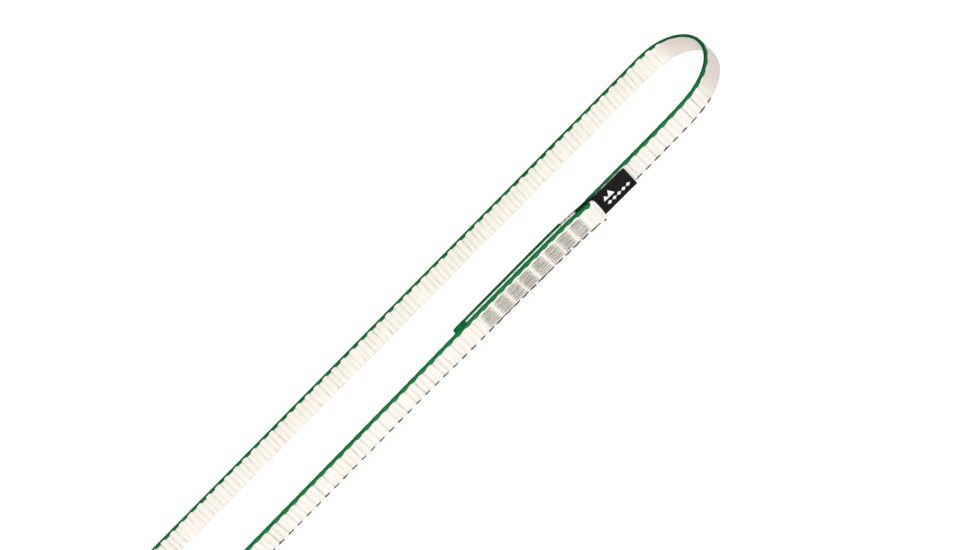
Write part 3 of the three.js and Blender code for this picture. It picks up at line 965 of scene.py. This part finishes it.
# ---------------------------------------------------------------------------------------
# materials
# ---------------------------------------------------------------------------------------
class Nodes:
    def __init__(self, name):
        self.material = bpy.data.materials.new(name)
        self.material.use_nodes = True
        self.tree = self.material.node_tree
        self.tree.nodes.clear()
        self.out = self.tree.nodes.new("ShaderNodeOutputMaterial")
        self.shader = self.tree.nodes.new("ShaderNodeBsdfPrincipled")
        self.link(self.shader.outputs[0], self.out.inputs["Surface"])

    def link(self, a, b):
        self.tree.links.new(a, b)

    def put(self, socket, value):
        if hasattr(value, "is_linked") or isinstance(value, bpy.types.NodeSocket):
            self.link(value, socket)
        else:
            socket.default_value = value

    def new(self, kind, **values):
        node = self.tree.nodes.new(kind)
        for key, value in values.items():
            setattr(node, key, value)
        return node

    def math(self, op, a, b=None, c=None, clamp=False):
        n = self.new("ShaderNodeMath", operation=op, use_clamp=clamp)
        self.put(n.inputs[0], a)
        if b is not None:
            self.put(n.inputs[1], b)
        if c is not None:
            self.put(n.inputs[2], c)
        return n.outputs[0]

    def mix(self, f, a, b):
        n = self.new("ShaderNodeMix", data_type="RGBA")
        self.put(n.inputs[0], f)
        self.put(n.inputs[6], a)
        self.put(n.inputs[7], b)
        return n.outputs[2]

    def ramp(self, f, stops):
        n = self.new("ShaderNodeValToRGB")
        self.put(n.inputs[0], f)
        e = n.color_ramp.elements
        while len(e) > 1:
            e.remove(e[-1])
        e[0].position, e[0].color = stops[0]
        for pos, col in stops[1:]:
            x = e.new(pos)
            x.color = col
        return n.outputs[0]

    def noise(self, vector, scale, detail=3.0, rough=0.55):
        n = self.new("ShaderNodeTexNoise")
        self.link(vector, n.inputs["Vector"])
        n.inputs["Scale"].default_value = scale
        n.inputs["Detail"].default_value = detail
        n.inputs["Roughness"].default_value = rough
        return n.outputs[0]

    def uv(self):
        n = self.new("ShaderNodeUVMap", uv_map="UVMap")
        sep = self.new("ShaderNodeSeparateXYZ")
        self.link(n.outputs[0], sep.inputs[0])
        return n.outputs[0], sep.outputs[0], sep.outputs[1]

    def bump(self, height, distance, strength=1.0):
        n = self.new("ShaderNodeBump")
        self.link(height, n.inputs["Height"])
        n.inputs["Distance"].default_value = distance
        n.inputs["Strength"].default_value = strength
        self.link(n.outputs[0], self.shader.inputs["Normal"])

    def set(self, **values):
        for key, value in values.items():
            self.put(self.shader.inputs[key.replace("_", " ")], value)


def srgb(r, g, b):
    def f(c):
        c /= 255
        return c / 12.92 if c <= 0.04045 else ((c + 0.055) / 1.055) ** 2.4
    return (f(r), f(g), f(b), 1.0)


TAU = 2 * math.pi


def webbing_material():
    n = Nodes("webbing_white")
    vec, u, v = n.uv()                       # 1 unit = 100 mm
    um, vm = n.math("MULTIPLY", u, 100.0), n.math("MULTIPLY", v, 100.0)   # millimetres
    attr = n.new("ShaderNodeAttribute", attribute_name="cavity")
    cav = attr.outputs["Fac"]
    # warp yarns run lengthwise, 0.5 mm apart, over and under picks 0.9 mm apart
    warp = n.math("SINE", n.math("MULTIPLY", vm, TAU / 0.52))
    pick = n.math("SINE", n.math("MULTIPLY", um, TAU / 0.9))
    over = n.math("MULTIPLY", warp, pick)
    weave = n.math("MULTIPLY_ADD", over, 0.5, 0.5)
    # filaments: long thin streaks along the webbing
    comb = n.new("ShaderNodeCombineXYZ")
    n.put(comb.inputs[0], n.math("MULTIPLY", u, 12.0))
    n.put(comb.inputs[1], n.math("MULTIPLY", v, 160.0))
    streak = n.noise(comb.outputs[0], 6.0, 3.0, 0.6)
    wide = n.noise(vec, 9.0, 2.0, 0.5)
    tone = n.math("MULTIPLY_ADD", streak, 0.5, n.math("MULTIPLY", wide, 0.5))
    clean = n.ramp(tone, [(0.30, (0.86, 0.815, 0.74, 1)), (0.55, (0.90, 0.865, 0.80, 1)), (0.75, (0.93, 0.905, 0.855, 1))])
    worn = n.mix(n.math("MULTIPLY", weave, 0.10), clean, (0.74, 0.69, 0.62, 1))
    # painted shade: the cavity attribute darkens the grooves, comb rows and bartack beds towards brown-grey, in uneven
    # patches
    patchy = n.math("MULTIPLY_ADD", n.noise(vec, 75.0, 2.0, 0.6), 1.1, 0.25)
    painted_groove_shade = n.math("MULTIPLY", n.math("MULTIPLY", cav, patchy), 0.80, clamp=True)
    deep = n.mix(painted_groove_shade, worn, (0.40, 0.365, 0.32, 1))
    # painted shade in the bends, towards pinkish grey, and painted light on the strip between the green edges, towards
    # near white
    bend_shade_seam_light = n.new("ShaderNodeAttribute", attribute_name="bend_shade_seam_light").outputs["Fac"]
    deep = n.mix(n.math("MULTIPLY", bend_shade_seam_light, 0.9, clamp=True), deep, (0.70, 0.63, 0.585, 1))
    deep = n.mix(n.math("MULTIPLY", bend_shade_seam_light, -1.0, clamp=True), deep, (0.955, 0.97, 0.95, 1))
    n.set(Base_Color=deep, Roughness=n.math("MULTIPLY_ADD", streak, 0.25, 0.42))
    n.shader.inputs["Specular IOR Level"].default_value = 0.35
    n.shader.inputs["Sheen Weight"].default_value = 0.12
    n.shader.inputs["Sheen Roughness"].default_value = 0.5
    h = n.math("MULTIPLY_ADD", weave, 0.6, n.math("MULTIPLY", streak, 0.4))
    n.bump(h, 0.0001, 0.9)
    return n.material


def green_material(name, dark):
    n = Nodes(name)
    vec, u, v = n.uv()
    um, vm = n.math("MULTIPLY", u, 100.0), n.math("MULTIPLY", v, 100.0)
    # plied yarns: fine slanting turns, and slow shade changes from yarn to yarn
    turn = n.math("SINE", n.math("MULTIPLY", n.math("MULTIPLY_ADD", vm, 1.1, um), TAU / 0.62))
    turn = n.math("MULTIPLY_ADD", turn, 0.5, 0.5)
    comb = n.new("ShaderNodeCombineXYZ")
    n.put(comb.inputs[0], n.math("MULTIPLY", u, 20.0))
    n.put(comb.inputs[1], n.math("MULTIPLY", v, 110.0))
    streak = n.noise(comb.outputs[0], 5.0, 3.0, 0.6)
    # yarn tone: painted shade and light from the section and the weave, with random variation
    attr = n.new("ShaderNodeAttribute", attribute_name="yarn_tone_painted_shade")
    f = n.math("MULTIPLY_ADD", attr.outputs["Fac"], 0.55,
               n.math("MULTIPLY_ADD", streak, 0.35, n.math("MULTIPLY", turn, 0.14)))
    a, b, c = dark
    col = n.ramp(f, [(0.25, a), (0.55, b), (0.85, c)])
    n.set(Base_Color=col, Roughness=n.math("MULTIPLY_ADD", streak, 0.2, 0.55))
    n.shader.inputs["Specular IOR Level"].default_value = 0.06
    n.shader.inputs["Sheen Weight"].default_value = 0.0
    n.bump(n.math("MULTIPLY_ADD", turn, 0.7, n.math("MULTIPLY", streak, 0.3)), 0.00007, 0.8)
    return n.material


def thread_material():
    n = Nodes("thread_grey")
    vec, u, v = n.uv()
    um = n.math("MULTIPLY", u, 100.0)
    around = n.math("MULTIPLY", v, 1 / 0.015)
    turn = n.math("SINE", n.math("MULTIPLY", n.math("MULTIPLY_ADD", around, 0.55, um), TAU / 0.55))
    turn = n.math("MULTIPLY_ADD", turn, 0.5, 0.5)
    streak = n.noise(vec, 160.0, 3.0, 0.6)
    wide = n.noise(vec, 14.0, 2.0, 0.5)
    tone = n.new("ShaderNodeAttribute", attribute_name="pass_tone").outputs["Fac"]
    f = n.math("MULTIPLY_ADD", turn, 0.30, n.math("MULTIPLY_ADD", streak, 0.30, n.math("MULTIPLY", wide, 0.35)))
    f = n.math("MULTIPLY_ADD", tone, 0.13, f)
    col = n.ramp(f, [(0.24, (0.31, 0.295, 0.26, 1)), (0.46, (0.545, 0.52, 0.465, 1)), (0.70, (0.77, 0.75, 0.69, 1))])
    n.set(Base_Color=col, Roughness=n.math("MULTIPLY_ADD", streak, 0.2, 0.42))
    n.shader.inputs["Specular IOR Level"].default_value = 0.4
    n.shader.inputs["Sheen Weight"].default_value = 0.05
    n.bump(turn, 0.00006, 0.8)
    return n.material


def label_material():
    n = Nodes("label_black")
    vec, u, v = n.uv()
    um, vm = n.math("MULTIPLY", u, 100.0), n.math("MULTIPLY", v, 100.0)
    # satin face: fine picks across, stepped diagonally
    a = n.math("SINE", n.math("MULTIPLY", n.math("MULTIPLY_ADD", vm, 0.5, um), TAU / 0.30))
    b = n.math("SINE", n.math("MULTIPLY", vm, TAU / 0.22))
    weave = n.math("MULTIPLY_ADD", n.math("MULTIPLY", a, b), 0.5, 0.5)
    wide = n.noise(vec, 30.0, 3.0, 0.6)
    f = n.math("MULTIPLY_ADD", weave, 0.5, n.math("MULTIPLY", wide, 0.5))
    col = n.ramp(f, [(0.2, (0.0036, 0.0033, 0.0036, 1)), (0.6, (0.0094, 0.0088, 0.0090, 1)), (0.9, (0.019, 0.0176, 0.018, 1))])
    melted = n.new("ShaderNodeAttribute", attribute_name="melted").outputs["Fac"]
    scorch = n.new("ShaderNodeAttribute", attribute_name="scorch").outputs["Fac"]
    col = n.mix(melted, col, (0.86, 0.84, 0.80, 1))
    col = n.mix(n.math("MULTIPLY", scorch, 1.0, clamp=True), col, (0.060, 0.024, 0.016, 1))
    n.set(Base_Color=col, Roughness=n.math("MULTIPLY_ADD", wide, 0.2, 0.6))
    n.shader.inputs["Specular IOR Level"].default_value = 0.08
    n.shader.inputs["Sheen Weight"].default_value = 0.0
    n.bump(weave, 0.00004, 0.8)
    return n.material


def device_material():
    n = Nodes("label_device_white")
    vec, u, v = n.uv()
    um, vm = n.math("MULTIPLY", u, 100.0), n.math("MULTIPLY", v, 100.0)
    pick = n.math("MULTIPLY_ADD", n.math("SINE", n.math("MULTIPLY", vm, TAU / 0.24)), 0.5, 0.5)
    wide = n.noise(vec, 60.0, 3.0, 0.6)
    f = n.math("MULTIPLY_ADD", pick, 0.45, n.math("MULTIPLY", wide, 0.55))
    col = n.ramp(f, [(0.2, (0.80, 0.79, 0.78, 1)), (0.5, (0.90, 0.89, 0.88, 1)), (0.8, (0.95, 0.945, 0.94, 1))])
    n.set(Base_Color=col, Roughness=n.math("MULTIPLY_ADD", wide, 0.2, 0.5))
    n.shader.inputs["Sheen Weight"].default_value = 0.05
    n.bump(pick, 0.00005, 0.8)
    return n.material


WHITE = webbing_material()
GREEN = green_material("edge_green", ((0.0015, 0.062, 0.016, 1), (0.0028, 0.155, 0.037, 1), (0.006, 0.25, 0.066, 1)))
# a darker copy of the same green for the lower edge yarn: painted shade, as that yarn faces down towards the floor
GREEN_SHADED = green_material("edge_green_shaded", ((0.0012, 0.006, 0.003, 1), (0.0018, 0.011, 0.005, 1), (0.003, 0.03, 0.010, 1)))
GREY = thread_material()
BLACK = label_material()
DEVICE = device_material()


def finish_piece(obj, material, body, slot, *nodes):
    obj.data.materials.append(material)
    if body:
        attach(obj, body)
    if nodes:
        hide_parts(*nodes)
    return obj


# ---------------------------------------------------------------------------------------
# pieces
# ---------------------------------------------------------------------------------------
webbing = finish_piece(build_webbing(), WHITE, "runner", "webbing_white", "webbing_tape")
upper = finish_piece(build_selvedge("upper_selvedge", True, 0.0, L - 1.35, rows_plain), GREEN, "runner",
                     "edge_green", "upper_edge_yarn")
# the lower edge yarn takes the painted-shade copy of the green
lower = finish_piece(build_selvedge("lower_selvedge", False, 0.3, L - 0.5, rows_plain), GREEN_SHADED, "runner",
                     "edge_green", "lower_edge_yarn")
for k in range(8):
    finish_piece(build_thread(f"bartack_{k + 1}_needle", k, True), GREY, "runner",
                                "thread_grey", f"bartack_{k + 1}_needle_thread")
    finish_piece(build_thread(f"bartack_{k + 1}_bobbin", k, False), GREY, "runner",
                                "thread_grey", f"bartack_{k + 1}_bobbin_thread")

label = build_label()
label.data.materials.append(BLACK)
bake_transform(label)
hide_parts("label_tail", "label_flap")
device = finish_piece(build_mark(), DEVICE, "flap", "label_black")

# the route's points along the webbing, in millimetres
route_s = np.linspace(0, L, 520)
route_xy, _ = tape.at(route_s)

# ---------------------------------------------------------------------------------------
# studio
# ---------------------------------------------------------------------------------------
floor_mesh = bpy.data.meshes.new("floor")
half = 12.0
floor_mesh.from_pydata([(-half, -half, -0.0003), (half, -half, -0.0003), (half, half, -0.0003), (-half, half, -0.0003)],
                       [], [(0, 1, 2, 3)])
floor = bpy.data.objects.new("floor", floor_mesh)
scene.collection.objects.link(floor)
fm = Nodes("floor_white")
geo = fm.new("ShaderNodeNewGeometry")
fine = fm.noise(geo.outputs["Position"], 3.0, 2.0, 0.5)
fm.set(Base_Color=fm.ramp(fine, [(0.3, (0.44, 0.44, 0.44, 1)), (0.7, (0.46, 0.46, 0.46, 1))]), Roughness=0.9)
fm.shader.inputs["Specular IOR Level"].default_value = 0.0
fm.shader.inputs["Emission Color"].default_value = (1, 1, 1, 1)
fm.shader.inputs["Emission Strength"].default_value = 0.66
floor.data.materials.append(fm.material)

world = bpy.data.worlds.new("studio")
scene.world = world
world.use_nodes = True
world.node_tree.nodes["Background"].inputs[0].default_value = (1.0, 1.0, 1.0, 1)
world.node_tree.nodes["Background"].inputs[1].default_value = 0.38


def area(name, location, target, size, power, colour=(1, 1, 1)):
    light = bpy.data.lights.new(name, "AREA")
    light.shape = "RECTANGLE"
    light.size, light.size_y = size
    light.energy = power
    light.color = colour
    obj = bpy.data.objects.new(name, light)
    scene.collection.objects.link(obj)
    obj.location = location
    obj.rotation_mode = "QUATERNION"
    obj.rotation_quaternion = (Vector(target) - Vector(location)).to_track_quat("-Z", "Y")
    return obj


area("key", (0.1, -2.4, 2.4), (0.1, 0, 0), (1.3, 1.3), 62.0, (1.0, 0.99, 0.98))
area("top", (0.1, 0.2, 3.0), (0.1, 0, 0), (2.2, 2.2), 30.0)
